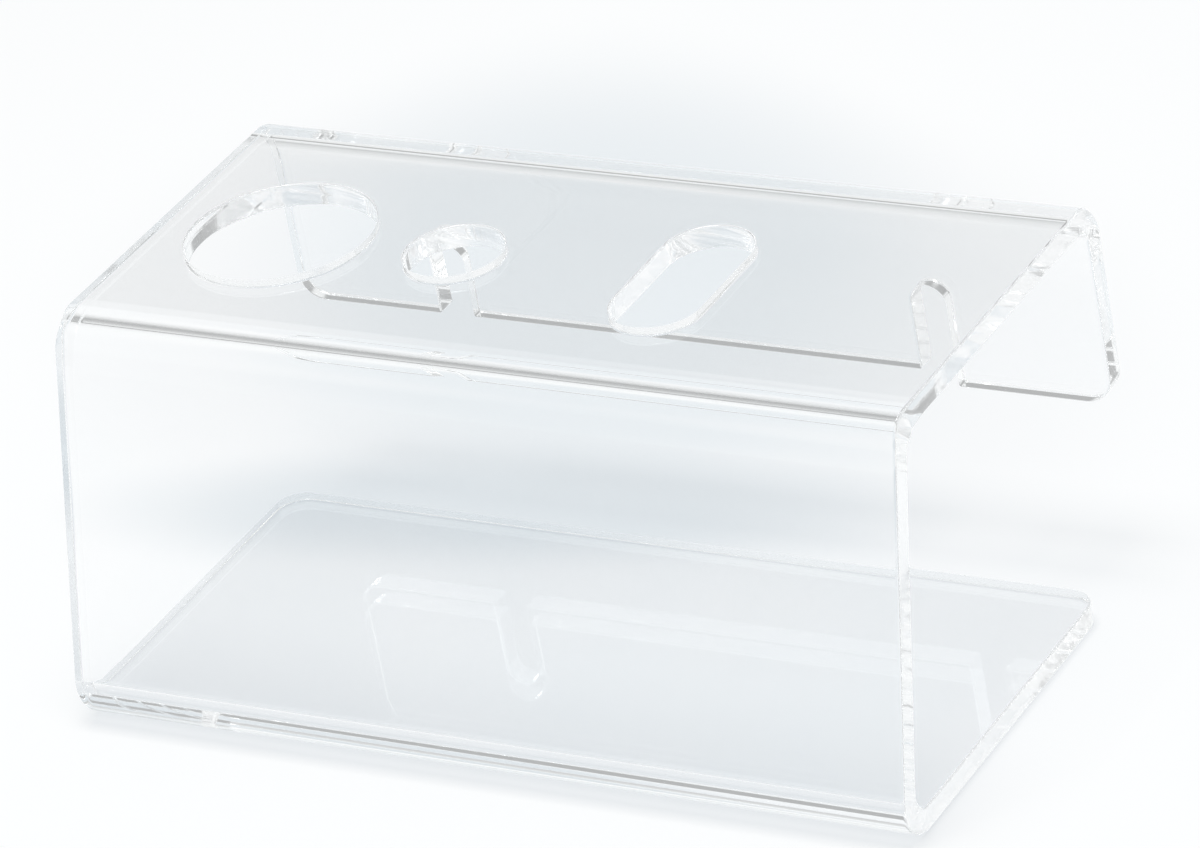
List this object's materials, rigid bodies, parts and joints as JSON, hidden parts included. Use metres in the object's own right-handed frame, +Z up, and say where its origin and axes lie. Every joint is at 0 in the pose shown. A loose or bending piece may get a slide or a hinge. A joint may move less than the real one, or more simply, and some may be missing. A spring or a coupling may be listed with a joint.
{
  "type": "manicure tool organizer",
  "caption": "Clear acrylic desk organizer bent from one sheet, with round holes and a slot in its top for manicure tools and a notched rear lip for their cords.",
  "frame": {"origin": "on the table under the middle of the organizer's box", "axes": "+X along the width to the right as seen from the front, +Y to the rear, +Z up"},
  "size_m": [0.22, 0.1272, 0.098],
  "materials": {
    "clear_acrylic": "clear cast acrylic, polished faces and polished cut edges"
  },
  "bodies": {
    "root": {"base_plate": "clear_acrylic", "base_bend": "clear_acrylic", "front_wall": "clear_acrylic", "top_front_bend": "clear_acrylic", "top_plate": "clear_acrylic", "top_rear_bend": "clear_acrylic", "rear_lip": "clear_acrylic"}
  },
  "joints": []
}
